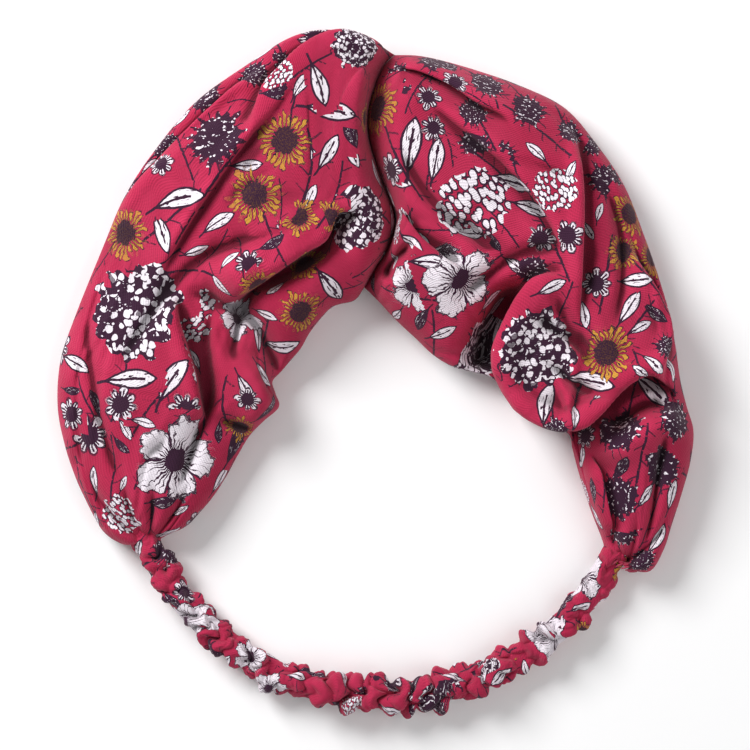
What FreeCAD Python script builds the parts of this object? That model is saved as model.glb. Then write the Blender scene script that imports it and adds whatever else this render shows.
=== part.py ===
import FreeCAD, Part
import math
import os

# A knotted jersey headband, lying flat with its knot away from the reader.
# Millimetres. Z = 0 is the surface it lies on, and the origin is under the middle of its box.
# Two cloth bands, each folded in half round the other, cross in the knot at the top. Their ends
# are gathered onto a ruched casing, which holds a flat elastic. The right band turns about the
# knot when the elastic stretches, so everything near the knot keeps clear of that turn.

# The knot: the right band's loop lies level, and the left band's loop drops through it.
KNOT_X = 0.0
KNOT_Y = 61.0
KNOT_Z = 13.5                 # middle of the three layers
RING_RADIUS = 15.0            # of the right band's level loop, to its middle
RING_HALF_WIDTH = 8.5
RING_HALF_HEIGHT = 4.2
BIGHT_RADIUS = 9.1            # of the left band's upright loop, to its middle
BIGHT_HALF_THICKNESS = 4.4
LEG_HALF_THICKNESS = 4.0
LEG_START_HALF_WIDTH = 5.0    # where the left loop's two legs leave its ring
LEG_HALF_WIDTH = 26.0         # where they run into its wing
LEG_OVERLAP = 3.0             # how far each leg reaches into its wing
RING_OVERLAP = 1.0            # how far each leg of the left loop reaches into its ring

# Each wing is a flattened tube with a flat underside. A station is a cut across it:
# the outer edge (x, y), the inner edge (x, y), and the height there.
LEFT_STATIONS = [
    ((-25.0, 103.0), (-25.0, 24.0), 27.0),
    ((-48.0, 86.0), (-22.0, 10.0), 25.0),
    ((-69.0, 64.0), (-27.0, -1.0), 22.5),
    ((-84.0, 33.0), (-31.0, -9.0), 20.0),
    ((-94.0, 0.0), (-37.0, -17.0), 18.5),
    ((-92.0, -23.0), (-43.0, -28.0), 17.0),
    ((-85.0, -40.0), (-52.0, -40.0), 15.5),
]
RIGHT_STATIONS = [
    ((8.0, 93.0), (8.0, 29.0), 24.0),
    ((30.0, 94.0), (13.0, 13.0), 25.0),
    ((54.0, 82.0), (22.0, 3.0), 24.0),
    ((72.0, 60.0), (34.0, -3.0), 22.5),
    ((84.0, 34.0), (42.0, -9.0), 20.0),
    ((90.5, 8.0), (52.0, -14.0), 18.5),
    ((94.2, -15.0), (59.0, -25.0), 17.5),
    ((91.0, -36.0), (63.0, -39.0), 16.0),
]
CUTS_PER_STATION = 2
END_HALF_WIDTH = 8.0          # of a wing where it closes on the casing
END_HEIGHT = 13.6
SUNK_PART = 0.1               # of a section's height, cut off below to leave a flat underside

# The casing runs round one arc, from the left wing's end to the right wing's.
CASING_CENTRE = (2.5, -18.5)
CASING_RADIUS = 77.0
CASING_START = 206.0          # degrees, at the left wing
CASING_END = 332.0            # degrees, at the right wing
CASING_HALF_WIDTH = 7.5
CASING_HEIGHT = 13.0
OPEN_GAP = 0.5                # between the casing's free end and the right wing

ELASTIC_WIDTH = 8.0
ELASTIC_THICKNESS = 1.2
ELASTIC_Z = 6.4               # middle of its width, which stands upright

THREAD_RADIUS = 0.35
THREAD_Z = 0.42               # middle of a stitch in an underside
STITCH_LENGTH = 3.0
STITCH_PITCH = 5.0
SEAM_MARGIN = 8.0             # bare stretch at each end of a lengthwise seam
JOIN_STITCHES = 9             # over the top of each wing's end
JOIN_FIRST_ANGLE = 10.0       # degrees up from level, on each side
JOIN_DEPTH = 0.5              # of a join stitch below the cloth's surface

FLOOR_REACH = 300.0
UP = FreeCAD.Vector(0, 0, 1)


def vec(x, y, z=0.0):
    return FreeCAD.Vector(x, y, z)


def cut_below_floor(shape):
    """The part of a shape that is above Z = 0."""
    corner = vec(-FLOOR_REACH / 2, -FLOOR_REACH / 2, -FLOOR_REACH)
    return shape.cut(Part.makeBox(FLOOR_REACH, FLOOR_REACH, FLOOR_REACH, corner))


def ellipse_wire(centre, long_axis, half_long, half_short, short_axis=UP):
    """A closed ellipse round centre, with its longer half along long_axis, in two arcs."""
    tip = centre + long_axis * half_long
    side = centre + short_axis * half_short
    ellipse = Part.Ellipse(tip, side, centre)
    upper = Part.Edge(ellipse, 0, math.pi)
    lower = Part.Edge(ellipse, math.pi, 2 * math.pi)
    return Part.Wire([upper, lower]).toNurbs().Wires[0]


def wing_section(outer, inner, height):
    """The upright ellipse between two edge points, sunk a little below the floor."""
    across = outer - inner
    half_height = height * (1 + SUNK_PART) / 2
    centre = (outer + inner) * 0.5 + UP * (height - half_height)
    half_width = across.Length / 2
    across.normalize()
    return ellipse_wire(centre, across, half_width, half_height)


def casing_point(degrees, radius=CASING_RADIUS, z=0.0):
    angle = math.radians(degrees)
    x = CASING_CENTRE[0] + radius * math.cos(angle)
    y = CASING_CENTRE[1] + radius * math.sin(angle)
    return vec(x, y, z)


def casing_tangent(degrees):
    """Unit direction along the casing, towards larger angles."""
    angle = math.radians(degrees)
    return vec(-math.sin(angle), math.cos(angle))


def end_station(degrees, offset):
    """The station that closes a wing on the casing, offset along the casing's line."""
    shift = casing_tangent(degrees) * offset
    outer = casing_point(degrees, CASING_RADIUS + END_HALF_WIDTH) + shift
    inner = casing_point(degrees, CASING_RADIUS - END_HALF_WIDTH) + shift
    return ((outer.x, outer.y), (inner.x, inner.y), END_HEIGHT)


def smooth_curve(points):
    """A spline that passes the points at whole parameters 0, 1, 2 and so on."""
    curve = Part.BSplineCurve()
    curve.interpolate(Points=points, Parameters=[float(n) for n in range(len(points))])
    return curve


def wing(stations):
    """A solid through the stations and cuts spaced between them, flat underneath."""
    outer_edge = smooth_curve([vec(*outer) for outer, _, _ in stations])
    inner_edge = smooth_curve([vec(*inner) for _, inner, _ in stations])
    heights = smooth_curve([vec(n, height) for n, (_, _, height) in enumerate(stations)])
    sections = []
    for n in range((len(stations) - 1) * CUTS_PER_STATION + 1):
        place = n / CUTS_PER_STATION
        outer = outer_edge.value(place)
        inner = inner_edge.value(place)
        sections.append(wing_section(outer, inner, heights.value(place).y))
    return cut_below_floor(Part.makeLoft(sections, True, True))


def right_loop():
    """The right band's level half ring, open to the right, and its two legs into the wing."""
    centre = vec(KNOT_X, KNOT_Y, KNOT_Z)
    reach = RIGHT_STATIONS[0][0][0] + LEG_OVERLAP - KNOT_X
    section = ellipse_wire(
        centre - vec(0, RING_RADIUS), vec(0, 1, 0), RING_HALF_WIDTH, RING_HALF_HEIGHT
    )
    face = Part.Face(section)
    solid = face.revolve(centre, UP * -1, 180)
    for side in (-1, 1):
        leg = Part.Face(section.translated(vec(0, (1 + side) * RING_RADIUS)))
        solid = solid.fuse(leg.extrude(vec(reach, 0, 0)))
    return solid


def left_loop():
    """The left band's upright half ring through the right one, and its two flaring legs."""
    centre = vec(KNOT_X - BIGHT_RADIUS, KNOT_Y, KNOT_Z)
    circle = Part.Circle(centre + UP * BIGHT_RADIUS, vec(1, 0, 0), BIGHT_HALF_THICKNESS)
    solid = Part.Face(Part.Wire(circle.toShape())).revolve(centre, vec(0, 1, 0), 180)
    wing_x = LEFT_STATIONS[0][0][0] - LEG_OVERLAP
    for side in (-1, 1):
        start = centre + vec(RING_OVERLAP, 0, side * BIGHT_RADIUS)
        end = vec(wing_x, KNOT_Y, start.z)
        narrow = ellipse_wire(start, vec(0, 1, 0), LEG_START_HALF_WIDTH, LEG_HALF_THICKNESS)
        wide = ellipse_wire(end, vec(0, 1, 0), LEG_HALF_WIDTH, LEG_HALF_THICKNESS)
        solid = solid.fuse(Part.makeLoft([narrow, wide], True, True))
    return solid


def stitch(middle, direction, length=STITCH_LENGTH):
    """One straight stitch of thread."""
    return Part.makeCylinder(THREAD_RADIUS, length, middle - direction * (length / 2), direction)


def seam_along(points):
    """Stitches at an even pitch along straight runs between points."""
    stitches = []
    travelled = -SEAM_MARGIN
    for start, end in zip(points, points[1:]):
        run = end - start
        length = run.Length
        run.normalize()
        while travelled + STITCH_PITCH < length:
            travelled += STITCH_PITCH
            if travelled > STITCH_LENGTH / 2 and travelled < length - STITCH_LENGTH / 2:
                stitches.append(stitch(start + run * travelled, run))
        travelled -= length
    return Part.makeCompound(stitches)


def wing_seam(stations):
    """The thread of a wing's lengthwise seam, down the middle of its underside."""
    middles = []
    for outer, inner, _ in stations[1:]:
        x = (outer[0] + inner[0]) / 2
        y = (outer[1] + inner[1]) / 2
        middles.append(vec(x, y, THREAD_Z))
    return seam_along(middles)


def casing_seam():
    """The thread of the casing's lengthwise seam, under its middle."""
    step = math.degrees(STITCH_PITCH / CASING_RADIUS)
    margin = math.degrees(SEAM_MARGIN / CASING_RADIUS)
    count = int((CASING_END - CASING_START - 2 * margin) / step)
    angles = [CASING_START + margin + step * n for n in range(count + 1)]
    return Part.makeCompound(
        [stitch(casing_point(a, z=THREAD_Z), casing_tangent(a)) for a in angles]
    )


def join_stitches(degrees, inward):
    """Stitches over a wing's end, just inside the wing."""
    along = casing_tangent(degrees) * inward
    start = casing_point(degrees) + along * (OPEN_GAP + STITCH_LENGTH / 2)
    across = casing_point(degrees, 1) - casing_point(degrees, 0)
    half_height = END_HEIGHT * (1 + SUNK_PART) / 2 - JOIN_DEPTH
    level = END_HEIGHT * (1 - SUNK_PART) / 2
    stitches = []
    for n in range(JOIN_STITCHES):
        share = n / (JOIN_STITCHES - 1)
        angle = math.radians(JOIN_FIRST_ANGLE + share * (180 - 2 * JOIN_FIRST_ANGLE))
        side = across * ((END_HALF_WIDTH - JOIN_DEPTH) * math.cos(angle))
        height = UP * (level + half_height * math.sin(angle))
        stitches.append(stitch(start + side + height, along))
    return Part.makeCompound(stitches)


def casing_sweep(half_width, low, high, oval):
    """A section swept round the casing's arc: an oval or a rectangle."""
    start = casing_point(CASING_START)
    across = casing_point(CASING_START, 1) - casing_point(CASING_START, 0)
    if oval:
        half_height = (high - low) / 2
        wire = ellipse_wire(start + UP * (low + half_height), across, half_width, half_height)
    else:
        inside = start - across * half_width
        outside = start + across * half_width
        corners = [inside + UP * low, outside + UP * low, outside + UP * high, inside + UP * high]
        wire = Part.makePolygon(corners + corners[:1])
    axis_point = vec(*CASING_CENTRE)
    return Part.Face(wire).revolve(axis_point, UP, CASING_END - CASING_START)


def main():
    left_stations = LEFT_STATIONS + [end_station(CASING_START, 0.0)]
    right_stations = RIGHT_STATIONS + [end_station(CASING_END, OPEN_GAP)]
    left_seam = wing_seam(left_stations)
    right_seam = wing_seam(right_stations)
    back_seam = casing_seam()
    left_join = join_stitches(CASING_START, -1)
    right_join = join_stitches(CASING_END, 1)
    elastic = casing_sweep(
        ELASTIC_THICKNESS / 2, ELASTIC_Z - ELASTIC_WIDTH / 2, ELASTIC_Z + ELASTIC_WIDTH / 2, False
    )
    sunk = -SUNK_PART * CASING_HEIGHT
    casing = cut_below_floor(casing_sweep(CASING_HALF_WIDTH, sunk, CASING_HEIGHT, True))
    nodes = {
        "left_band": wing(left_stations).fuse(left_loop()).cut([left_seam, left_join]),
        "right_band": wing(right_stations).fuse(right_loop()).cut([right_seam, right_join]),
        "left_band_seam": left_seam,
        "right_band_seam": right_seam,
        "left_join_stitches": left_join,
        "right_join_stitches": right_join,
        "elastic_casing": casing.cut([elastic, back_seam]),
        "casing_seam": back_seam,
        "elastic_strip": elastic,
    }
    os.makedirs("parts", exist_ok=True)
    for name, shape in nodes.items():
        shape.exportStep(f"parts/{name}.step")
        box = shape.BoundBox
        print(
            f"{name}: {len(shape.Solids)} solids, valid {shape.isValid()}, "
            f"{shape.Volume:.0f} mm3, x {box.XMin:.1f} {box.XMax:.1f}, "
            f"y {box.YMin:.1f} {box.YMax:.1f}, z {box.ZMin:.2f} {box.ZMax:.1f}"
        )


main()
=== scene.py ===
import math
import bmesh
import bpy
import numpy as np
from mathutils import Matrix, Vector


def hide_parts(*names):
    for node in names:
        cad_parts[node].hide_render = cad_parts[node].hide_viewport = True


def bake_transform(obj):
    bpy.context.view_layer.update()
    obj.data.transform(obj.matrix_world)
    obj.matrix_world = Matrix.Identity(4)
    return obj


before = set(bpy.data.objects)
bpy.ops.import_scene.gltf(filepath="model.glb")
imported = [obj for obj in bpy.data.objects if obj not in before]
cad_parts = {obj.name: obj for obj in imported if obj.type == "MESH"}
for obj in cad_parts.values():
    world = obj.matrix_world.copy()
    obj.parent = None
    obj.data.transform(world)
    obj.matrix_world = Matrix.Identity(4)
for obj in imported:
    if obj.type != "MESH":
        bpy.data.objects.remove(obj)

# A knotted jersey headband lying flat. Lengths and places are in millimetres in the CAD frame,
# and MM turns them into Blender's metres.
MM = 0.001
SEED = 7
# Each cloth laid flat: its widest girth and longest run, in metres, and its area. A band's are
# those of its outer ply, which tapers to both ends. They are read off the finished shapes,
# because the real cuts aren't known.
LEFT_FLAT, LEFT_AREA = (0.224, 0.235), 0.0255
RIGHT_FLAT, RIGHT_AREA = (0.203, 0.228), 0.0252
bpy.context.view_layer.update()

FLOOR_CLEARANCE = 0.3         # of the lowest cloth
LIP = 0.12                    # between the two edges of a rolled cloth
THREAD_RADIUS = 0.28
STITCH_PITCH = 5.0
STITCH_LENGTH = 3.0

# ---------------------------------------------------------------- camera, light and floor
VIEW_WIDTH = 225.0            # of the picture at the floor
CAMERA_HEIGHT = 1100.0
SENSOR = 36.0


def add_camera():
    data = bpy.data.cameras.new("camera")
    data.sensor_width = SENSOR
    data.lens = SENSOR * CAMERA_HEIGHT / VIEW_WIDTH
    data.clip_start = 0.01
    camera = bpy.data.objects.new("camera", data)
    camera.location = (0.0, 0.0, CAMERA_HEIGHT * MM)
    bpy.context.scene.collection.objects.link(camera)
    bpy.context.scene.camera = camera


def add_area_light(name, place, size, watts, colour=(1, 1, 1)):
    data = bpy.data.lights.new(name, "AREA")
    data.size = size * MM
    data.energy = watts
    data.color = colour
    light = bpy.data.objects.new(name, data)
    light.location = Vector(place) * MM
    light.rotation_euler = (-Vector(place)).to_track_quat("-Z", "Y").to_euler()
    bpy.context.scene.collection.objects.link(light)


def add_world():
    world = bpy.data.worlds.new("studio")
    world.use_nodes = True
    background = world.node_tree.nodes["Background"]
    background.inputs["Color"].default_value = (1, 1, 1, 1)
    background.inputs["Strength"].default_value = 0.30
    bpy.context.scene.world = world


def add_floor():
    half = 3.0
    mesh = bpy.data.meshes.new("floor")
    corners = [(-half, -half, 0), (half, -half, 0), (half, half, 0), (-half, half, 0)]
    mesh.from_pydata(corners, [], [(0, 1, 2, 3)])
    floor = bpy.data.objects.new("floor", mesh)
    bpy.context.scene.collection.objects.link(floor)
    material = bpy.data.materials.new("floor_white")
    material.use_nodes = True
    shader = material.node_tree.nodes["Principled BSDF"]
    shader.inputs["Base Color"].default_value = (0.96, 0.96, 0.965, 1)
    shader.inputs["Roughness"].default_value = 0.8
    mesh.materials.append(material)


def add_studio():
    bpy.context.scene.view_settings.view_transform = "Standard"
    add_camera()
    add_world()
    add_area_light("key", (-600, 560, 660), 480, 12.0)
    add_area_light("fill", (600, -300, 800), 900, 3.5)
    add_floor()


# ---------------------------------------------------------------- curves, fields and folds
FOLD_DEPTH = 2.8              # every fold's height or depth is multiplied by this
OVERHANG = 1.3                # and how far a ply's edge leans over the ply below, by this


def spline(points, places):
    """A Catmull-Rom curve that passes points[n] at place n."""
    line = np.array(points, float).reshape(len(points), -1)
    line = np.vstack([2 * line[0] - line[1], line, 2 * line[-1] - line[-2]])
    places = np.clip(np.asarray(places, float), 0, len(points) - 1 - 1e-9)
    n = places.astype(int)
    t = (places - n)[:, None]
    a, b, c, d = line[n], line[n + 1], line[n + 2], line[n + 3]
    curve = 2 * b + (c - a) * t + (2 * a - 5 * b + 4 * c - d) * t**2
    return 0.5 * (curve + (3 * b - a - 3 * c + d) * t**3)


def smoothstep(low, high, value):
    t = np.clip((value - low) / (high - low), 0, 1)
    return t * t * (3 - 2 * t)


def waves(x, y, length, seed, count=10):
    """Smooth random hills of about the given wavelength, mostly between -1 and 1."""
    rng = np.random.default_rng(seed)
    total = np.zeros_like(x)
    for _ in range(count):
        turn = rng.uniform(0, 2 * math.pi)
        pitch = 2 * math.pi / (length * rng.uniform(0.7, 1.5))
        phase = rng.uniform(0, 2 * math.pi)
        total += np.sin(pitch * (x * math.cos(turn) + y * math.sin(turn)) + phase)
    return total / math.sqrt(count) / 1.6


def wrinkles(flow, seed):
    """Depth of the thin creases that run along the cloth, where it has any."""
    total = np.zeros(len(flow))
    for n, (length, depth) in enumerate(((17, 1.3), (11, 0.8))):
        bend = waves(flow[:, 0], flow[:, 1], length, seed + n)
        where = smoothstep(0.0, 0.5, waves(flow[:, 0], flow[:, 1], 19, seed + 7 + n))
        total += depth * where * np.exp(-((bend / 0.10) ** 2))
        total -= 0.4 * depth * where * np.exp(-(((bend - 0.28) / 0.18) ** 2))
    return total


class Fold:
    """A fold line in plan. Its left side, seen along it, is the side of positive distance."""

    def __init__(self, points, ends=(0.2, 0.2)):
        places = np.linspace(0, len(points) - 1, 40 * len(points))
        self.line = spline(points, places)
        self.ends = ends

    def near(self, xy):
        """Signed distance from the line, direction to its left, and how far the fold is open."""
        gap = xy[:, None, :] - self.line[None, :, :]
        closest = (gap**2).sum(2).argmin(1)
        last = len(self.line) - 1
        along = self.line[np.minimum(closest + 1, last)] - self.line[np.maximum(closest - 1, 0)]
        along /= np.linalg.norm(along, axis=1)[:, None] + 1e-9
        left = np.stack([-along[:, 1], along[:, 0]], 1)
        offset = gap[np.arange(len(xy)), closest]
        side = (offset * left).sum(1)
        beyond = np.abs((offset * along).sum(1))
        share = closest / last
        strength = smoothstep(0, self.ends[0] + 1e-6, share) * smoothstep(
            0, self.ends[1] + 1e-6, 1 - share
        )
        distance = np.sign(side) * np.hypot(side, beyond)
        return distance, left, strength


def raise_ridge(points, xyz, room, line, height, width, ends=(0.25, 0.25)):
    """A rounded rise along a line, or a soft valley where height is below zero."""
    distance, _, strength = Fold(line, ends).near(points)
    xyz[:, 2] += 0.7 * FOLD_DEPTH * height * strength * room * np.exp(-((distance / width) ** 2))


def cut_crease(points, xyz, room, line, depth, width, ends=(0.25, 0.25)):
    """A sharp valley along a line."""
    distance, _, strength = Fold(line, ends).near(points)
    xyz[:, 2] -= FOLD_DEPTH * depth * strength * room * np.exp(-np.abs(distance / width) ** 1.1)


def lay_over(points, xyz, room, line, height, reach=14.0, lip=1.6, over=2.2, ends=(0.2, 0.2)):
    """The cloth left of the line lies over the cloth right of it, with a rolled lip."""
    distance, left, strength = Fold(line, ends).near(points)
    strength = strength * room
    high = smoothstep(-lip, lip, distance) * np.exp(-np.maximum(distance, 0) / reach)
    dip = smoothstep(lip, -lip, distance) * np.exp(np.minimum(distance, 0) / (0.3 * reach))
    roll = np.exp(-(((distance - 1.6 * lip) / (1.5 * lip)) ** 2))
    xyz[:, 2] += FOLD_DEPTH * strength * height * (0.45 * high - 0.6 * dip + 0.22 * roll)
    push = np.exp(-(((distance - 0.8 * lip) / (1.1 * lip)) ** 2))
    tuck = np.exp(-(((distance + 0.8 * lip) / (1.1 * lip)) ** 2))
    xyz[:, :2] += left * (OVERHANG * over * strength * (0.5 * tuck - push))[:, None]


# ---------------------------------------------------------------- the wings' shapes
# Across each wing at its stations: the outer edge, the inner edge and the height of the cloth.
LEFT_STATIONS = [
    ((5.9, 95.3), (-3.2, 26.0), 25.0),
    ((-1.4, 99.5), (-6.2, 22.1), 27.0),
    ((-12.8, 102.8), (-12.8, 20.0), 27.0),
    ((-24.8, 100.7), (-18.8, 13.4), 26.0),
    ((-38.3, 92.3), (-22.4, 7.4), 24.5),
    ((-53.3, 81.5), (-27.8, 1.1), 23.0),
    ((-65.3, 67.4), (-30.5, -2.0), 22.0),
    ((-74.3, 53.9), (-29.6, -5.6), 21.0),
    ((-81.8, 36.5), (-28.6, -9.6), 20.0),
    ((-89.3, 17.9), (-33.2, -13.8), 19.5),
    ((-93.8, 4.4), (-37.4, -18.2), 19.0),
    ((-94.7, -9.2), (-41.0, -24.2), 18.5),
    ((-92.6, -20.7), (-44.3, -30.2), 18.0),
    ((-89.3, -30.7), (-48.2, -36.2), 17.5),
    ((-85.2, -39.6), (-52.4, -41.2), 16.5),
    ((-81.0, -46.8), (-56.4, -45.2), 15.5),
    ((-75.6, -50.4), (-61.6, -47.6), 13.5),
    ((-71.0, -50.6), (-64.6, -49.2), 11.0),
]
RIGHT_STATIONS = [
    ((5.9, 95.3), (-3.2, 26.0), 24.0),
    ((12.8, 95.0), (0.8, 22.1), 26.0),
    ((20.3, 93.5), (4.7, 17.9), 26.0),
    ((30.8, 90.5), (8.3, 14.3), 25.5),
    ((42.8, 86.3), (11.9, 11.0), 25.0),
    ((56.3, 79.7), (17.3, 5.9), 24.0),
    ((65.9, 68.9), (23.3, 2.3), 23.5),
    ((74.3, 56.3), (29.3, 0.8), 23.0),
    ((80.3, 41.3), (35.3, -1.2), 22.0),
    ((84.8, 28.4), (38.3, -5.7), 21.0),
    ((88.7, 14.9), (42.2, -11.2), 20.0),
    ((90.8, -0.2), (50.3, -14.7), 19.5),
    ((92.9, -9.2), (57.5, -17.5), 19.0),
    ((95.0, -16.7), (58.9, -22.2), 18.5),
    ((94.1, -25.7), (60.5, -28.3), 18.0),
    ((91.7, -34.7), (62.6, -35.2), 17.5),
    ((88.7, -44.2), (65.0, -42.0), 16.5),
    ((86.2, -52.0), (67.4, -48.0), 15.5),
    ((82.4, -58.4), (68.6, -51.6), 13.5),
    ((76.8, -58.6), (69.6, -53.8), 11.0),
]
# Where the two bands meet in the knot, from its upper notch to its lower one.
CREVICE = [
    (5.9, 95.3), (2.6, 92.0), (-0.2, 85.4), (-2.0, 78.5), (-2.0, 71.5), (-0.2, 64.4),
    (2.6, 56.3), (5.6, 48.8), (5.9, 43.4), (3.8, 37.4), (0.5, 32.3), (-3.2, 26.0),
]
CREVICE_FADE = 26.0           # how far from the knot its curve still bends the cloth
HIGHEST = 28.5                # of any cloth
CAP_LENGTH = 9.0              # of the round end that goes down into the crevice
RIM_SHARE = 0.34              # height of a wing's rim, as a share of its thickness
ROWS_PER_STATION = 11
CAP_ROWS = 20                 # rows in the first station, where the cloth rolls into the knot
COLUMNS = 120                 # across the top, and as many across the underside
EDGE_CROWDING = 0.8           # how much closer columns stand at the edges


def soft_limit(height, highest, margin=4.0):
    """Heights that bend over smoothly below the highest allowed."""
    above = np.maximum(height - (highest - margin), 0)
    return height - above + margin * (1 - np.exp(-above / margin))


def wing_rows(stations):
    """Station places of a wing's rows, closer at the knot."""
    first = np.linspace(0, 1, CAP_ROWS, endpoint=False) ** 1.6
    rest = np.linspace(1, len(stations) - 1, ROWS_PER_STATION * (len(stations) - 2) + 1)
    return np.concatenate([first, rest])


def wing_plan(stations):
    """Plan positions of a wing's grid, its thickness, and the distance from the knot."""
    places = wing_rows(stations)
    outer = spline([s[0] for s in stations], places)
    inner = spline([s[1] for s in stations], places)
    thick = spline([s[2] for s in stations], places)[:, 0]
    middle = (outer + inner) / 2
    steps = np.linalg.norm(np.diff(middle, axis=0), axis=1)
    travelled = np.concatenate([[0], np.cumsum(steps)])
    t = np.linspace(0, 1, COLUMNS + 1)
    across = t - EDGE_CROWDING * np.sin(2 * math.pi * t) / (2 * math.pi)
    plan = outer[:, None, :] * (1 - across[None, :, None]) + inner[:, None, :] * across[None, :, None]
    bend = spline(CREVICE, across * (len(CREVICE) - 1)) - plan[0]
    fade = np.clip(1 - travelled / CREVICE_FADE, 0, 1) ** 2
    plan += bend[None, :, :] * fade[:, None, None]
    return plan, thick, travelled, across


def wing_shell(stations, shape_folds, seed):
    """Top and underside of a wing as one closed grid of rows, in millimetres."""
    plan, thick, travelled, across = wing_plan(stations)
    rows, columns = plan.shape[:2]
    arch = np.clip(1 - np.abs(2 * across - 1) ** 2.5, 0, 1) ** 0.5
    cap = np.clip(1 - (1 - np.minimum(travelled / CAP_LENGTH, 1)) ** 2, 0, 1) ** 0.5
    rim = RIM_SHARE * thick
    swell = cap[:, None] * arch[None, :]
    top = np.zeros((rows, columns, 3))
    top[:, :, :2] = plan
    top[:, :, 2] = rim[:, None] + (thick - rim)[:, None] * swell
    flat = np.clip(1 - np.abs(2 * across - 1) ** 6, 0, 1) ** 0.4
    under = np.array(top)
    under[:, :, 2] = rim[:, None] - (rim - FLOOR_CLEARANCE)[:, None] * cap[:, None] * flat[None, :]
    points = plan.reshape(-1, 2)
    xyz = top.reshape(-1, 3)
    room = smoothstep(0.0, 0.55, swell).reshape(-1)
    xyz[:, 2] += room * (
        0.7 * waves(points[:, 0], points[:, 1], 34, seed)
        + 0.16 * waves(points[:, 0], points[:, 1], 9, seed + 1)
    )
    shape_folds(points, xyz, room)
    flow = np.stack(np.broadcast_arrays(across[None, :] * 70.0, travelled[:, None] * 0.22), 2)
    flow = flow.reshape(-1, 2)
    xyz[:, 2] -= room * wrinkles(flow, seed + 5)
    xyz[:, 2] = soft_limit(xyz[:, 2], HIGHEST)
    top = xyz.reshape(rows, columns, 3)
    wrinkle = np.abs(waves(plan[:, :, 0], plan[:, :, 1], 16, seed + 2))
    under[:, :, 2] += 1.1 * wrinkle * cap[:, None] * flat[None, :]
    return relax(top, under)


def relax(top, under):
    """Evens the grid a little and joins top and underside at the rims and in the crevice."""
    grid = np.concatenate([top[:, :-1], under[:, :0:-1]], axis=1)
    even = (np.roll(grid, 1, 1) + np.roll(grid, -1, 1)) / 4 + grid / 2
    even[1:-1] = even[1:-1] / 2 + (even[2:] + even[:-2]) / 4
    grid = even
    grid[:, :, 2] = np.maximum(grid[:, :, 2], FLOOR_CLEARANCE)
    seam = (grid[0] + np.roll(grid[0][::-1], 1, 0)) / 2
    grid[0] = seam
    grid = np.roll(grid, COLUMNS // 2, axis=1)
    return grid if outward_sign(grid) > 0 else grid[:, ::-1]


def left_folds(points, xyz, room):
    put = (points, xyz, room)
    # the fringe of the lower ply along the outer edge, and the upper ply's edge over it
    lay_over(*put, [(5, 96), (-4, 101), (-13, 100), (-21.5, 95.5), (-28, 89), (-32.5, 84),
                    (-36, 76), (-39, 66)], 4.5, reach=16, ends=(0.05, 0.35))
    lay_over(*put, [(-33, 92), (-42.5, 84), (-54, 73.5), (-64.5, 63), (-75.5, 51), (-80, 44)],
             2.6, reach=12, lip=1.2, over=1.2, ends=(0.2, 0.3))
    # rolls running down from the notch
    raise_ridge(*put, [(-2, 92), (-9, 83), (-13, 73), (-16, 62), (-17, 52)], 4.5, 7.5)
    lay_over(*put, [(-20, 52), (-19.7, 62), (-20, 75), (-20.3, 88)], 2.4, reach=7, lip=1.1,
             over=1.2, ends=(0.3, 0.3))
    # two rolled pleats from the crevice towards the lower left
    lay_over(*put, [(-56, 33), (-40, 40), (-25.7, 43.6), (-12, 54), (-7, 62)], 2.2, reach=5,
             lip=1.1, over=1.0, ends=(0.3, 0.3))
    raise_ridge(*put, [(-4, 58), (-13, 47), (-24, 39), (-38, 32), (-50, 27)], 4.0, 4.4)
    lay_over(*put, [(-4, 48), (-11, 48), (-15, 40), (-21.4, 36), (-36, 26), (-48, 18)][::-1], 5.5,
             reach=6, lip=1.3, over=2.0, ends=(0.3, 0.1))
    cut_crease(*put, [(-4, 50), (-12, 44), (-17, 36), (-28, 29.5), (-40, 24)], 4.0, 2.6)
    # the ply edge that covers the left ply, and the creases that leave it
    lay_over(*put, [(-49, -14), (-51.2, -10.5), (-53, -0.8), (-56, 8.9), (-58.5, 18), (-58.7, 26)],
             3.4, reach=13, lip=1.2, over=1.4, ends=(0.3, 0.25))
    cut_crease(*put, [(-58.5, 26), (-47, 22), (-36, 16), (-30, 4), (-27, -3)], 2.6, 3.2)
    raise_ridge(*put, [(-38, 6), (-34, -2), (-33, -12), (-41, -24)], 2.0, 5.0)
    cut_crease(*put, [(-49, -12), (-41, -15), (-37, -16), (-34, -17)], 1.8, 2.0)
    # long pleats that fan out from the knot over the middle of the wing
    lay_over(*put, [(-68, 20), (-60, 36), (-50, 52), (-40, 66), (-30, 78), (-20, 90)], 1.7, reach=9,
             lip=1.0, over=0.8, ends=(0.3, 0.2))
    lay_over(*put, [(-2, 92), (-8, 84), (-11.5, 74), (-12.5, 64), (-11, 56)], 3.0, reach=6, lip=1.0,
             over=1.2, ends=(0.15, 0.25))
    cut_crease(*put, [(-30, 46), (-42, 40), (-56, 30), (-70, 12), (-78, -4)], 1.6, 1.6,
               ends=(0.2, 0.4))
    cut_crease(*put, [(-46, 26), (-50, 10), (-49, -6), (-54, -22), (-60, -38)], 1.8, 1.4)
    cut_crease(*put, [(-24, 44), (-34, 30), (-40, 16), (-43, 2)], 2.2, 1.6)
    cut_crease(*put, [(-86, 24), (-84, 2), (-80, -18), (-74, -36)], 1.2, 1.3)
    cut_crease(*put, [(-72, 56), (-60, 66), (-48, 76), (-36, 86)], 1.6, 1.2)
    # small pleats where the end is gathered
    for shift in (-9, -3.5, 2, 8):
        cut_crease(*put, [(-69 + 1.9 * shift, -28), (-68.5 + 1.2 * shift, -40), (-67.5, -51)],
                   1.5, 1.5, ends=(0.6, 0.02))


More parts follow.
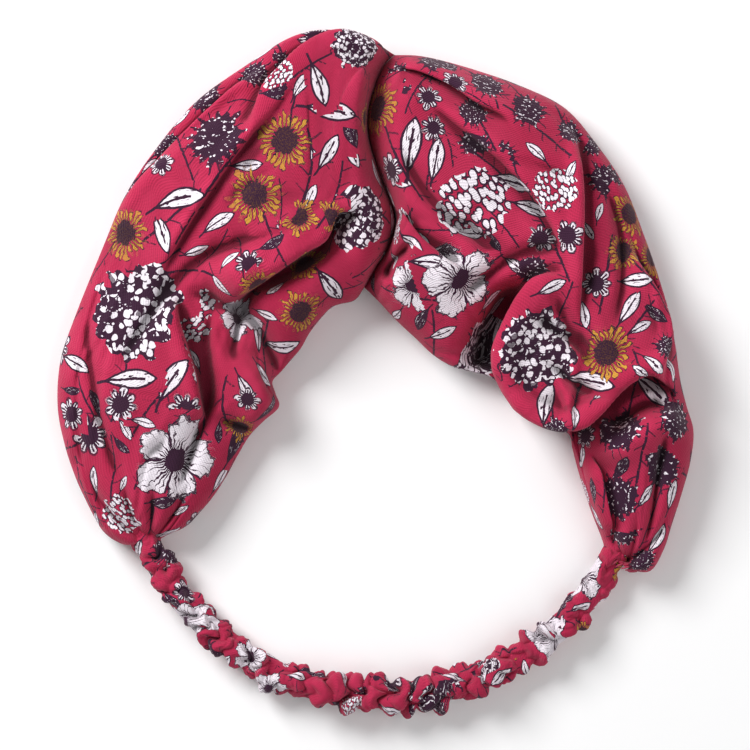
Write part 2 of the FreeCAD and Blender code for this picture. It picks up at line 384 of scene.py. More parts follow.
def right_folds(points, xyz, room):
    put = (points, xyz, room)
    # the upper ply's rolled border beside the crevice
    lay_over(*put, [(28, 31.5), (22, 33), (17, 36.5), (12, 41), (8, 46), (5.5, 50), (2.8, 57),
                    (0.5, 65)], 5.0, reach=9, lip=1.2, over=1.8, ends=(0.2, 0.3))
    cut_crease(*put, [(12, 40), (8, 36), (4.5, 32), (3.5, 27)], 3.0, 1.8)
    # the ply edge that falls from the notch to the right
    lay_over(*put, [(44, 69), (38.5, 76), (30, 80.5), (22, 86), (13, 90), (7, 91)][::-1], 2.4,
             reach=9, lip=1.1, over=1.2, ends=(0.1, 0.45))
    # the long upright edge and the one beside the rim
    lay_over(*put, [(60, 13), (60.5, 33), (61, 50), (60.4, 62), (58.5, 76)], 3.2, reach=10,
             lip=1.1, over=1.4, ends=(0.25, 0.3))
    lay_over(*put, [(84, -1), (87, 9), (87, 17), (83, 25), (78, 33), (75, 40)], 2.8, reach=9,
             lip=1.1, over=1.2, ends=(0.2, 0.35))
    # the big pleat that bulges over the inner edge
    lay_over(*put, [(57.5, -15.5), (50, -14), (42.5, -9.5), (37.2, -2.5), (35.6, 6.5), (38.5, 14.5),
                    (43, 23), (49, 29), (59, 29)][::-1], 6.0, reach=13, lip=1.5, over=2.4,
             ends=(0.2, 0.02))
    cut_crease(*put, [(45, 27), (38, 22), (33, 14), (31, 6), (33, -1)], 4.5, 4.0)
    cut_crease(*put, [(46, 20), (52, 14), (60, 9), (66, 8)], 1.6, 3.0)
    # the pleat's lower edge over the last bulge
    lay_over(*put, [(57.5, -15.5), (62, -14), (66, -10.5), (74, -2.5), (82, 0.5), (90, -6)], 5.5,
             reach=12, lip=1.5, over=2.2, ends=(0.02, 0.2))
    raise_ridge(*put, [(92, -10), (84, -14), (74, -20), (70, -28)], 2.4, 6.0)
    cut_crease(*put, [(67, -14), (73, -13), (80, -9), (90, -9)], 2.2, 3.0)
    # long soft pleats over the middle and towards the rim
    lay_over(*put, [(12, 84), (24, 74), (36, 64), (47, 52), (54, 40), (58, 30)], 1.7, reach=10,
             lip=1.0, over=0.8, ends=(0.25, 0.25))
    cut_crease(*put, [(6, 70), (12, 58), (20, 48), (32, 40), (44, 35)], 1.7, 1.6)
    cut_crease(*put, [(24, 22), (34, 30), (44, 36), (56, 38)], 2.0, 1.6)
    cut_crease(*put, [(66, 60), (72, 44), (73, 28), (70, 12)], 1.5, 1.3)
    cut_crease(*put, [(50, 6), (58, -2), (66, -5), (76, 2)], 1.8, 1.4)
    cut_crease(*put, [(86, -14), (84, -28), (82, -42), (79, -54)], 1.8, 1.4)
    lay_over(*put, [(71, -49), (69, -42), (67.5, -35), (66, -28), (63, -22)], 2.8, reach=8,
             lip=1.1, over=1.3, ends=(0.2, 0.3))
    for shift in (-6, 0, 6):
        cut_crease(*put, [(78 + 1.6 * shift, -38), (77 + 1.1 * shift, -48), (75, -56)],
                   1.4, 1.5, ends=(0.6, 0.02))


# ---------------------------------------------------------------- meshes from grids
def object_from(name, vertices, faces):
    mesh = bpy.data.meshes.new(name)
    mesh.from_pydata([tuple(v) for v in np.asarray(vertices) * MM], [], faces)
    mesh.validate()
    mesh.polygons.foreach_set("use_smooth", [True] * len(mesh.polygons))
    piece = bpy.data.objects.new(name, mesh)
    bpy.context.scene.collection.objects.link(piece)
    return piece


def weld(piece):
    """Joins points that lie on each other. The two edges of a rolled cloth stay apart."""
    work = bmesh.new()
    work.from_mesh(piece.data)
    bmesh.ops.remove_doubles(work, verts=work.verts, dist=1e-6)
    work.to_mesh(piece.data)
    work.free()


def outward_sign(grid):
    """1 where columns crossed with rows point out of a tube, and -1 where they point in."""
    down = np.gradient(grid, axis=0)
    around = np.roll(grid, -1, 1) - np.roll(grid, 1, 1)
    from_middle = grid - grid.mean(1, keepdims=True)
    return 1.0 if (np.cross(around, down) * from_middle).sum() > 0 else -1.0


def rolled_cloth(name, grid, capped):
    """One cloth rolled into a tube: its two edges meet along the grid's first column."""
    rows, columns = grid.shape[:2]
    lip = grid[:, :1] + np.array([0.0, 0.0, LIP])
    grid = np.concatenate([grid, lip], axis=1)
    index = np.arange(rows * (columns + 1)).reshape(rows, columns + 1)
    corners = [index[:-1, :-1], index[:-1, 1:], index[1:, 1:], index[1:, :-1]]
    faces = np.stack(corners, 2).reshape(-1, 4).tolist()
    vertices = grid.reshape(-1, 3).tolist()
    if capped:
        centre = len(vertices)
        vertices.append(grid[-1].mean(0).tolist())
        for a, b in zip(index[-1, :-1].tolist(), index[-1, 1:].tolist()):
            faces.append([a, b, centre])
    return object_from(name, vertices, faces)


def tube_mesh(vertices, faces, line, radius, sides=8):
    """Adds a thin round thread along a line of points."""
    line = np.asarray(line, float)
    along = np.gradient(line, axis=0)
    along /= np.linalg.norm(along, axis=1)[:, None] + 1e-9
    side = np.cross(along, (0.0, 0.0, 1.0))
    side /= np.linalg.norm(side, axis=1)[:, None] + 1e-9
    rise = np.cross(side, along)
    swell = np.sin(np.linspace(0.25, math.pi - 0.25, len(line)))[:, None] ** 0.4
    first = len(vertices)
    for k in range(sides):
        angle = 2 * math.pi * k / sides
        ring = line + radius * swell * (side * math.cos(angle) + rise * math.sin(angle))
        vertices.extend(ring.tolist())
    count = len(line)
    for k in range(sides):
        a = first + k * count
        b = first + (k + 1) % sides * count
        for n in range(count - 1):
            faces.append([a + n, a + n + 1, b + n + 1, b + n])
    faces.append([first + k * count for k in range(sides)])
    faces.append([first + k * count + count - 1 for k in reversed(range(sides))])


# ---------------------------------------------------------------- the ruched casing
CASING_CENTRE = (2.5, -18.5)
CASING_RADIUS = 77.0
CASING_FROM = 201.0           # degrees, a little inside the left wing
CASING_TO = 337.0             # degrees, a little inside the right wing
CASING_LEVEL = 6.5            # height of its middle
CASING_HALF_WIDTHS = (3.5, 3.7, 4.3, 4.9, 5.3, 5.0, 4.4, 3.7, 3.5)
CASING_HALF_HEIGHTS = (3.8, 4.1, 4.5, 5.0, 5.2, 5.0, 4.5, 4.1, 3.8)
STRIP_WIDTH = 6.0             # of the elastic inside
STRIP_THICKNESS = 1.2
STRIP_RIB_PITCH = 1.3
PUCKER_LENGTH = 5.2           # of one pucker along the casing
PUCKER_WIDTH = 11.5           # round the casing
PUCKER_DEPTH = 5.4
CASING_GIRTH = 34.0           # round it, along which the puckers are spaced
CASING_MEANDER = 0.54         # how far it wanders from its arc
STRIP_GAP_ACROSS = 0.7        # least room between the elastic and the cloth
STRIP_GAP_UP = 1.6
FLOOR_ROUNDING = 1.5          # height over which the cloth flattens on the floor
CASING_ROWS = 560
CASING_COLUMNS = 160


def casing_frame(share):
    """Middle of the casing and its outward direction at shares of its length."""
    angle = np.radians(CASING_FROM + share * (CASING_TO - CASING_FROM))
    out = np.stack([np.cos(angle), np.sin(angle)], 1)
    return np.array(CASING_CENTRE) + CASING_RADIUS * out, out


def puckers(u, v, girth, length, width, seed):
    """Round-topped lumps with narrow valleys between, from 0 to about 1.2, round a tube."""
    rng = np.random.default_rng(seed)
    rows = int(u.max() / length) + 2
    around = int(round(girth / width))
    height = np.zeros(u.shape)
    for n in range(-2, rows):
        for m in range(around):
            turn = (m + 0.5 * (n % 2) + rng.uniform(-0.38, 0.38)) / around
            place = (n + rng.uniform(-0.28, 0.28)) * length
            slant = rng.uniform(-0.9, 1.0)
            reach = rng.uniform(0.53, 0.64)
            tall = rng.uniform(0.65, 1.25)
            across = ((v - turn + 0.5) % 1.0 - 0.5) * girth / width
            along = (u - place) / length - slant * across
            gap = (along**2 + across**2) / reach**2
            height = np.maximum(height, tall * np.sqrt(np.clip(1 - gap, 0, 1)))
    return height


def keep_above(value, least, margin=0.8):
    """Values that bend over smoothly above the least allowed."""
    short = np.maximum(least + margin - value, 0)
    return value + short - margin * (1 - np.exp(-short / margin))


def rest_on_floor(height, lumps):
    """Heights flattened where the cloth meets the floor, a little higher between lumps."""
    floor = FLOOR_CLEARANCE + 0.25 * np.clip(1 - lumps, 0, 1)
    low = np.maximum(floor + FLOOR_ROUNDING - height, 0)
    flattened = floor + FLOOR_ROUNDING * np.exp(-low / FLOOR_ROUNDING)
    return np.maximum(np.where(low > 0, flattened, height), FLOOR_CLEARANCE)


def casing_shell(seed):
    """The gathered tube over the elastic: rows along it, columns round it from below."""
    share = np.linspace(0, 1, CASING_ROWS)
    middle, out = casing_frame(share)
    length = CASING_RADIUS * math.radians(CASING_TO - CASING_FROM)
    wide = spline(CASING_HALF_WIDTHS, share * (len(CASING_HALF_WIDTHS) - 1))
    high = spline(CASING_HALF_HEIGHTS, share * (len(CASING_HALF_HEIGHTS) - 1))
    v = np.arange(CASING_COLUMNS) / CASING_COLUMNS
    turn = 2 * math.pi * v - math.pi / 2
    u, v = np.meshgrid(share * length, v, indexing="ij")
    ring_x, ring_z = np.cos(turn)[None, :], np.sin(turn)[None, :]
    sway_u = waves(u, 12 * ring_x + 0 * u, 15, seed) * 1.6
    sway_v = waves(u, 12 * ring_z + 0 * u, 17, seed + 1) * 0.035
    lumps = puckers(u + sway_u, v + sway_v, CASING_GIRTH, PUCKER_LENGTH, PUCKER_WIDTH, seed + 2)
    fine = puckers(u + sway_u, v, CASING_GIRTH, 2.6, 6.5, seed + 3)
    size = waves(u, 20 * ring_x + 0 * u, 26, seed + 4)
    depth = PUCKER_DEPTH * (0.55 + 0.45 * np.sin(math.pi * share) ** 0.5)[:, None]
    puff = depth * (lumps - 0.72) + 0.7 * (fine - 0.5) + 0.55 * size
    meander = CASING_MEANDER * waves(share * length, 0 * share, 40, seed + 5)
    meander *= np.sin(math.pi * share)
    room_across = keep_above(wide + puff, STRIP_WIDTH / 2 + STRIP_GAP_ACROSS)
    room_up = keep_above(high + 0.8 * puff, STRIP_THICKNESS / 2 + STRIP_GAP_UP)
    across = room_across * ring_x + meander[:, None]
    grid = np.zeros(u.shape + (3,))
    grid[:, :, :2] = middle[:, None, :] + out[:, None, :] * across[:, :, None]
    grid[:, :, 2] = CASING_LEVEL + room_up * ring_z
    grid[:, :, 2] = rest_on_floor(grid[:, :, 2], lumps)
    slant = waves(u, 10 * ring_z + 0 * u, 9, seed + 6) * 0.55
    tangent = np.stack([-out[:, 1], out[:, 0]], 1)
    grid[:, :, :2] += tangent[:, None, :] * slant[:, :, None]
    return grid if outward_sign(grid) > 0 else grid[:, ::-1]


# ---------------------------------------------------------------- elastic and threads
JOIN_STITCHES = 9             # at each wing's end
JOIN_REACH = 2.4              # length of one


def elastic_strip():
    """The flat knitted elastic inside the casing, with its lengthwise ribs."""
    share = np.linspace(0.03, 0.97, 260)
    middle, out = casing_frame(share)
    t = np.linspace(-0.5, 0.5, 41)
    rib = 0.10 * np.cos(2 * math.pi * t * STRIP_WIDTH / STRIP_RIB_PITCH)
    edge = np.clip(1 - np.abs(2 * t) ** 8, 0.1, 1) ** 0.5
    top = (0.5 * STRIP_THICKNESS + rib) * edge
    grid = np.zeros((len(share), 2 * len(t), 3))
    across = np.concatenate([t, t[::-1]]) * STRIP_WIDTH
    grid[:, :, :2] = middle[:, None, :] + out[:, None, :] * across[None, :, None]
    grid[:, :, 2] = CASING_LEVEL + np.concatenate([top, -top[::-1]])[None, :]
    rows, columns = grid.shape[:2]
    index = np.arange(rows * columns).reshape(rows, columns)
    around = np.roll(index, -1, 1)
    faces = np.stack([index[:-1], around[:-1], around[1:], index[1:]], 2).reshape(-1, 4).tolist()
    faces += [index[0, ::-1].tolist(), index[-1].tolist()]
    return object_from("elastic", grid.reshape(-1, 3), faces)


def running_stitches(name, line):
    """Stitches along a line of points on an underside, one each pitch."""
    line = np.asarray(line, float)
    travelled = np.concatenate([[0], np.cumsum(np.linalg.norm(np.diff(line, axis=0), axis=1))])
    vertices, faces = [], []
    start = 6.0
    while start + STITCH_LENGTH < travelled[-1] - 5.0:
        places = np.linspace(start, start + STITCH_LENGTH, 9)
        dash = np.stack([np.interp(places, travelled, line[:, k]) for k in range(3)], 1)
        dash[:, 2] += 0.35 * np.abs(np.linspace(-1, 1, 9)) ** 3
        tube_mesh(vertices, faces, dash, THREAD_RADIUS)
        start += STITCH_PITCH
    return object_from(name, vertices, faces)


def join_stitches(name, grid, towards):
    """Short threads over the top of a wing's end, down on to the casing."""
    vertices, faces = [], []
    columns = grid.shape[1]
    row = grid[-4]
    toward = np.array(towards, float)
    for n in range(JOIN_STITCHES):
        column = int(columns * (0.30 + 0.4 * n / (JOIN_STITCHES - 1)))
        spot = row[column]
        lean = toward - spot
        lean[2] *= 0.35
        lean /= np.linalg.norm(lean)
        share = np.linspace(0, 1, 9)[:, None]
        dash = spot + lean * JOIN_REACH * share
        dash[:, 2] += 0.25 * np.sin(math.pi * share[:, 0]) + 0.05
        tube_mesh(vertices, faces, dash, THREAD_RADIUS)
    return object_from(name, vertices, faces)


# ---------------------------------------------------------------- where the print lies
# Kinds of motif. Flowers are one layer of the print, leaves the next and stems the lowest.
DAISY, BLOOM, FLORET, CLUSTER, THISTLE, PEBBLES = 1, 2, 3, 4, 5, 6
LEAF, STEM = 1, 1
LAYERS = ("flowers", "leaves", "stems")
# How far a motif reaches along and across itself, in its own sizes.
BOXES = {"flowers": (1.12, 1.12), "leaves": (1.3, 0.55), "stems": (1.05, 0.35)}
# These kinds thin out towards their rims, so they are drawn this much larger.
FULLNESS = {CLUSTER: 1.15, THISTLE: 1.25, FLORET: 1.15}
STEPS = [(a, b) for a in (-1, 0, 1) for b in (-1, 0, 1) if (a, b) != (0, 0)]


def axes_near(up, degrees, normals):
    """The motif's two directions at point after point, turned to lie in the cloth."""
    turn = math.radians(degrees)
    first = np.array([math.cos(turn), math.sin(turn), 0.0])
    first -= up * first.dot(up)
    first /= np.linalg.norm(first)
    second = np.cross(up, first)
    tilt = np.maximum(1 + normals @ up, 0.3)[..., None]
    return [a - (normals @ a)[..., None] / tilt * (normals + up) for a in (first, second)]


def cell_moves(points, axes):
    """Steps from each point's eight neighbours to it, measured along the cloth."""
    high, wide = points.shape[:2]
    padded = np.pad(points, ((1, 1), (1, 1), (0, 0)), mode="edge")
    padded_axes = [np.pad(a, ((1, 1), (1, 1), (0, 0)), mode="edge") for a in axes]
    moves = {}
    for a, b in STEPS:
        window = (slice(1 + a, 1 + a + high), slice(1 + b, 1 + b + wide))
        edge = points - padded[window]
        step = np.stack(
            [(edge * (axis + wider[window])).sum(2) for axis, wider in zip(axes, padded_axes)], 2
        )
        scale = np.linalg.norm(edge, axis=2) / (np.linalg.norm(step, axis=2) + 1e-9)
        moves[a, b] = step * scale[..., None]
    return moves


def grow_outwards(moves, shape, start):
    """Places of a patch's points, found ring by ring from the start."""
    high, wide = shape
    known = np.zeros(shape, bool)
    known[start] = True
    places = np.zeros((high, wide, 2))
    for _ in range(high + wide):
        if known.all():
            break
        seen = np.pad(known, 1)
        wider = np.pad(places, ((1, 1), (1, 1), (0, 0)))
        count = np.zeros(known.shape)
        total = np.zeros_like(places)
        for a, b in STEPS:
            window = (slice(1 + a, 1 + a + high), slice(1 + b, 1 + b + wide))
            has = seen[window]
            count += has
            total += has[..., None] * (wider[window] + moves[a, b])
        new = ~known & (count > 0)
        places[new] = total[new] / count[new][:, None]
        known |= new
    return places


class Cloth:
    """Knows, for each cell of a closed grid, which motif of each layer lies on it."""

    def __init__(self, grid, blur=30):
        self.grid = grid
        self.blur = blur
        rows, columns = grid.shape[:2]
        self.shape = (rows, columns)
        down = np.gradient(grid, axis=0)
        around = np.roll(grid, -1, 1) - np.roll(grid, 1, 1)
        normals = np.cross(around, down)
        self.normals = normals / (np.linalg.norm(normals, axis=2, keepdims=True) + 1e-9)
        self.owned = {name: np.zeros((rows - 1, columns), bool) for name in LAYERS}
        self.corners = {name: np.zeros((rows - 1, columns, 4, 3)) for name in LAYERS}

    def spread(self, i, j, degrees, reach):
        """Places near point (i, j), measured along the cloth, with x along a plan direction."""
        columns = self.shape[1]
        shift = columns // 2 - j
        points = np.roll(self.grid, shift, 1)
        near = np.linalg.norm(points - self.grid[i, j], axis=2) < reach
        span = np.flatnonzero(near.any(1))
        width = np.flatnonzero(near.any(0))
        rows = slice(max(span[0] - 1, 0), span[-1] + 2)
        cols = slice(max(width[0] - 1, 0), width[-1] + 2)
        points = points[rows, cols]
        normals = np.roll(self.normals, shift, 1)[rows, cols]
        axes = axes_near(self.normals[i, j], degrees, normals)
        start = (i - rows.start, columns // 2 - cols.start)
        places = grow_outwards(cell_moves(points, axes), points.shape[:2], start)
        row_numbers = np.arange(rows.start, min(rows.stop, self.shape[0]))
        column_numbers = (np.arange(cols.start, min(cols.stop, columns)) - shift) % columns
        return row_numbers, column_numbers, places

    def put(self, layer, kind, i, j, size, degrees, seed, box, clear=1.0):
        """Prints one motif at point (i, j), unless more than clear of its cells are taken."""
        reach = size * max(box) * 1.15 + 1.0
        rows, columns, places = self.spread(i, j, degrees, reach)
        if len(rows) < 3 or len(columns) < 3:
            return False
        places = places / size
        middle = (places[:-1, :-1] + places[1:, 1:]) / 2
        inside = (np.abs(middle[..., 0]) < box[0]) & (np.abs(middle[..., 1]) < box[1])
        cells = np.ix_(rows[:-1], columns[:-1])
        taken = self.owned[layer][cells] & inside
        if taken.sum() > clear * inside.sum():
            return False
        use = inside & ~taken
        r, c = np.nonzero(use)
        corner_places = [places[r, c], places[r, c + 1], places[r + 1, c + 1], places[r + 1, c]]
        code = kind + 0.05 + 0.8 * seed
        values = np.zeros((len(r), 4, 3))
        values[:, :, :2] = np.stack(corner_places, 1)
        values[:, :, 2] = code
        self.corners[layer][rows[r], columns[c]] = values
        self.owned[layer][rows[r], columns[c]] = True
        return True

    def top_point(self, x, y):
        """The grid point that shows from above at a plan place."""
        gap = np.hypot(self.grid[:, :, 0] - x, self.grid[:, :, 1] - y)
        facing = self.normals[:, :, 2] > 0.05
        cost = np.where(facing, gap - 0.02 * self.grid[:, :, 2], 1e9)
        return np.unravel_index(cost.argmin(), cost.shape)

    def print_listed(self, motifs, seed):
        """Prints motifs given as (layer, kind, x, y, size, degrees)."""
        rng = np.random.default_rng(seed)
        for layer, kind, x, y, size, degrees in motifs:
            i, j = self.top_point(x, y)
            box = BOXES[layer]
            self.put(layer, kind, i, j, size, degrees, rng.random(), box)

    def print_scattered(self, layer, kinds, count, sizes, seed, clear=0.04):
        """Fills bare cloth with motifs at seeded random places."""
        rng = np.random.default_rng(seed)
        rows, columns = self.shape
        free = ~self.owned["flowers"] if layer != "stems" else np.ones((rows - 1, columns), bool)
        free = free & ~self.owned[layer]
        a = np.roll(self.grid, -1, 1)[:-1] - self.grid[:-1]
        b = self.grid[1:] - self.grid[:-1]
        area = np.linalg.norm(np.cross(a, b), axis=2) * free
        chance = (area / area.sum()).ravel()
        for cell in rng.choice(chance.size, count, p=chance):
            i, j = divmod(int(cell), columns)
            kind = kinds[rng.integers(len(kinds))]
            size = rng.uniform(*sizes)
            degrees = rng.uniform(0, 360)
            tone = rng.random()
            if not self.owned[layer][i, j]:
                self.put(layer, kind, i, j, size, degrees, tone, BOXES[layer], clear)

    def hollow(self):
        """How far each point lies below the cloth round it, in millimetres."""
        smooth = np.array(self.grid)
        for _ in range(self.blur):
            smooth = (np.roll(smooth, 1, 1) + np.roll(smooth, -1, 1)) / 4 + smooth / 2
            smooth[1:-1] = (smooth[2:] + smooth[:-2]) / 4 + smooth[1:-1] / 2
        sunk = ((smooth - self.grid) * self.normals).sum(2)
        return np.concatenate([sunk, sunk[:, :1]], axis=1)

    def paint(self, piece):
        """Writes on the mesh's corners the motifs, the knit's own coordinates and each point's hollow
        depth, from which the material paints shade in hollows and highlight on ridges.
        """
        mesh = piece.data
        rows, columns = self.shape
        across = np.linalg.norm(np.roll(self.grid, -1, 1) - self.grid, axis=2)
        along = np.linalg.norm(np.diff(self.grid, axis=0), axis=2)
        t = np.cumsum(np.pad(across, ((0, 0), (1, 0))), axis=1)
        s = np.cumsum(np.concatenate([[0], along.mean(1)]))
        knit = np.zeros((rows - 1, columns, 4, 3))
        hollow = self.hollow()
        for corner, (a, b) in enumerate([(0, 0), (0, 1), (1, 1), (1, 0)]):
            knit[:, :, corner, 0] = s[a:rows - 1 + a, None]
            knit[:, :, corner, 1] = t[a:rows - 1 + a, b:b + columns]
            # the third value is the hollow depth, used for the painted shade and painted highlight
            knit[:, :, corner, 2] = hollow[a:rows - 1 + a, b:b + columns]
        for name, values in list(self.corners.items()) + [("knit", knit)]:
            layer = mesh.attributes.new(name, "FLOAT_VECTOR", "CORNER")
            flat = np.zeros((len(mesh.loops), 3), np.float32)
            flat[:values.size // 3] = values.reshape(-1, 3)
            layer.data.foreach_set("vector", flat.ravel())


def flower(kind, *places):
    grow = FULLNESS.get(kind, 1.0)
    return [("flowers", kind, x, y, size * grow, degrees) for x, y, size, degrees in places]


def leaves(*places):
    return [("leaves", LEAF, x, y, size, degrees) for x, y, size, degrees in places]


def stems(*places):
    return [("stems", STEM, x, y, size, degrees) for x, y, size, degrees in places]


# Each motif: x, y, half its size, and its direction in degrees.
LEFT_PRINT = (
    flower(DAISY, (-26, 69, 9, 0), (-35, 53, 9.3, 20), (-74, 42, 8.3, 50), (-21, 33, 8, 80),
           (-22, 19, 7.5, 10), (-35, 27, 7, 0), (-22.5, 46, 6, 30), (-13, 45.5, 5.5, 0))
    + flower(CLUSTER, (-71, 19, 15.5, 0), (-5.5, 47, 11, 60), (-5, 97, 8, 0))
    + flower(THISTLE, (-46, 70, 9.2, 0), (-51, 83, 6, 20), (-36, 89, 5.5, 0), (-29, 92, 4.5, 0),
             (-62, 68, 5, 0), (-73, 55, 5, 60))
    + flower(BLOOM, (-59, -25, 14, 10), (-41, 17, 7.5, 30))
    + flower(FLORET, (-75, -9, 5.2, 0), (-90, -12, 4.8, 0), (-84.5, -17.5, 6, 0),
             (-55.5, -10.5, 5.6, 0), (-37, 32, 4.6, 0), (-26, 44.5, 3.4, 0), (-9, 39.5, 6, 0),
             (-18, 100, 5, 0), (-9, 91.5, 4, 0), (-37.5, -7.5, 4, 0), (-63, 62, 4, 0))
    + flower(PEBBLES, (-75, -42, 8, 30), (-53, 18, 10, 90))
    + leaves((-57, 52, 8.6, 10), (-62.5, 42, 7, -67), (-52, 36.5, 4.5, 25), (-89, 4, 6.2, -25),
             (-72, -1.5, 8.4, 2), (-59.5, -1, 8.4, 52), (-90, -5, 3.6, -5), (-68, -14, 4.2, -15),
             (-73.5, -16, 3.8, -60), (-41.5, -21, 6.5, 80), (-46, -31, 5.2, 60),
             (-63, -38, 5.2, 5), (-58, -40.5, 3.5, 20), (-83, -31.5, 5, 70), (-54, 4, 6.8, -75),
             (-38.5, -4, 5.2, -60), (-33, 0, 5.2, -35), (-31.5, -10.5, 5.2, 60),
             (-34.5, 11.5, 4.8, 80), (-28, 8, 6.6, 12), (-32, 18, 4.2, -10), (-13, 26, 7, -55),
             (-16.5, 85, 7.2, -70), (-22, 85, 5.2, 55), (-27.5, 82.5, 5.8, 4),
             (-13, 77.5, 8.2, -10), (-7, 72.5, 6.4, -75), (-13.5, 65, 6.2, 60),
             (-7, 65, 5.2, -60), (-17.5, 63, 4.8, -70), (-37, 61, 5.2, 0), (-46, 45, 5.8, 30),
             (-58, 76, 4.4, 25), (-67, 62, 4.2, 40), (-74.5, -32, 3, 60), (-43, 34, 4, 40),
             (-30, 38, 4.5, 30), (-19, 52, 4.5, 70))
    + stems((-60, 46, 12, 35), (-50, 52, 16, 62), (-75, -3, 11, 78), (-77, -28, 10, 82),
            (-51, -14, 13, -72), (-44, -12, 12, -78), (-19, 60, 12, 84), (-12, 52, 10, 70),
            (-33, 8, 12, 70), (-24, 76, 10, 80), (-68, -26, 8, 60), (-64, 33, 10, 20))
)
RIGHT_PRINT = (
    flower(DAISY, (0.5, 79, 9, 0), (75.5, 48, 7.2, 0), (73, 36.5, 7.2, 30), (82, 35, 6.4, 0),
           (68, 7, 8.6, 10))
    + flower(BLOOM, (25, 28.5, 12, 20), (11, 26, 9, 70))
    + flower(CLUSTER, (47, 8, 13, 0))
    + flower(PEBBLES, (53, 54, 8, 0), (28.5, 49.5, 13.5, 10), (26.5, 58, 5, 60))
    + flower(FLORET, (48, 39.5, 5, 0), (56.5, 40.5, 5, 0), (41.5, 40.5, 2.8, 0), (15.5, 82, 4, 0),
             (17, 72.5, 4, 0), (23.5, 86, 4.2, 0), (64.5, 27, 4.6, 0), (62.5, -18, 4.2, 0))
    + flower(THISTLE, (33, 86, 6.2, 0), (29, 77, 5.2, 80), (29.5, 68, 5.8, 90), (45.5, 78, 6.2, 0),
             (37, 64.5, 5, 0), (18.5, 92, 7, 0), (7, 87, 7, 0), (57.5, 72, 5, 0), (64.5, 68.5, 4.2, 0),
             (68.5, 58, 6.6, 0), (46, 31, 5.5, 15), (72, -16.5, 8, 0), (89.5, -12.5, 7.5, 0),
             (71.5, -36.5, 7.4, 90), (73, -45.5, 7, 90), (86, 9, 4, 0), (79, -55, 5, 0),
             (84, -26, 9, 0), (80, -16, 7.5, 0), (88, -20, 6, 0))
    + leaves((10, 67, 9, 80), (17.5, 63, 7, 80), (6.5, 57, 5.8, 0), (27.5, 41.5, 5.2, 10),
             (34, 40, 4.8, -70), (16.5, 33, 6.8, -5), (11, 38, 5.8, -40), (46, 48.5, 6.2, -20),
             (40, 57, 7.2, -15), (41.5, 32.5, 5.2, -40), (52, 26, 5.2, 20), (77, 28, 6.2, 5),
             (74.5, 20, 6.2, 55), (82, 18.5, 4.8, -35), (78, 14.5, 4.2, 30), (50.5, 25, 4.2, 30),
             (63, -1.5, 8.4, -5), (50, -8.5, 7.2, 75), (67, -4, 5.2, 50), (58.5, -12.5, 4.2, 80),
             (82, -4, 7.8, -50), (81.5, 4, 4.8, -50), (29, 9, 5.2, -35), (88, -35.5, 5.2, 80),
             (84, -48.5, 5.4, 65), (64.5, -34.5, 4.4, 70), (20, 12, 5, 30), (57, 60, 4, 60),
             (36, 20, 5, 60), (62, 18, 4.6, -80), (66, 48, 3.4, 70), (63, 43, 3.4, -60),
             (73, -27, 5, 60), (80, -36, 4.6, 50))
    + stems((8, 62, 12, -62), (16, 60, 10, 78), (31, 74, 10, -75), (48, 72, 12, -38),
            (42, 84, 8, -80), (68, 30, 12, 80), (60, -6, 12, 75), (76, -8, 10, 80),
            (38, 44, 8, -50), (85, -8, 10, -70), (76, 14, 10, 50), (82, -42, 10, 70),
            (70, 66, 6, 30), (30, 30, 9, 40))
)


def print_band(grid, motifs, seed):
    """The print of a band: the listed motifs on its top and scattered ones elsewhere."""
    cloth = Cloth(grid)
    cloth.print_listed(motifs, seed)
    cloth.print_scattered("flowers", [CLUSTER, BLOOM], 16, (10, 13), seed + 1)
    cloth.print_scattered("flowers", [DAISY, FLORET, THISTLE, PEBBLES], 60, (4, 7.5), seed + 2)
    cloth.print_scattered("leaves", [LEAF], 240, (3.4, 6.0), seed + 3)
    cloth.print_scattered("stems", [STEM], 120, (7, 12), seed + 4, clear=0.3)
    return cloth


def print_casing(grid, seed):
    """The casing's print, which the puckers break up."""
    cloth = Cloth(grid, blur=16)
    cloth.print_scattered("flowers", [CLUSTER, BLOOM, THISTLE], 40, (6, 9), seed + 1, clear=0.2)
    cloth.print_scattered("flowers", [FLORET, DAISY, PEBBLES], 60, (3.5, 6), seed + 2, clear=0.2)
    cloth.print_scattered("leaves", [LEAF], 110, (3.5, 6), seed + 3, clear=0.2)
    cloth.print_scattered("stems", [STEM], 40, (6, 10), seed + 4, clear=0.3)
    return cloth


# ---------------------------------------------------------------- shader arithmetic
class Value:
    """A number in a material's node tree, on which plain arithmetic works."""

    def __init__(self, graph, socket):
        self.graph = graph
        self.socket = socket

    def __add__(self, other):
        return self.graph.math("ADD", self, other)

    def __sub__(self, other):
        return self.graph.math("SUBTRACT", self, other)

    def __rmul__(self, other):
        return self.graph.math("MULTIPLY", other, self)

    def __mul__(self, other):
        return self.graph.math("MULTIPLY", self, other)

    def __truediv__(self, other):
        return self.graph.math("DIVIDE", self, other)

    def __radd__(self, other):
        return self.graph.math("ADD", other, self)

    def __rsub__(self, other):
        return self.graph.math("SUBTRACT", other, self)

    def __lt__(self, other):
        return self.graph.math("LESS_THAN", self, other)

    def __gt__(self, other):
        return self.graph.math("GREATER_THAN", self, other)


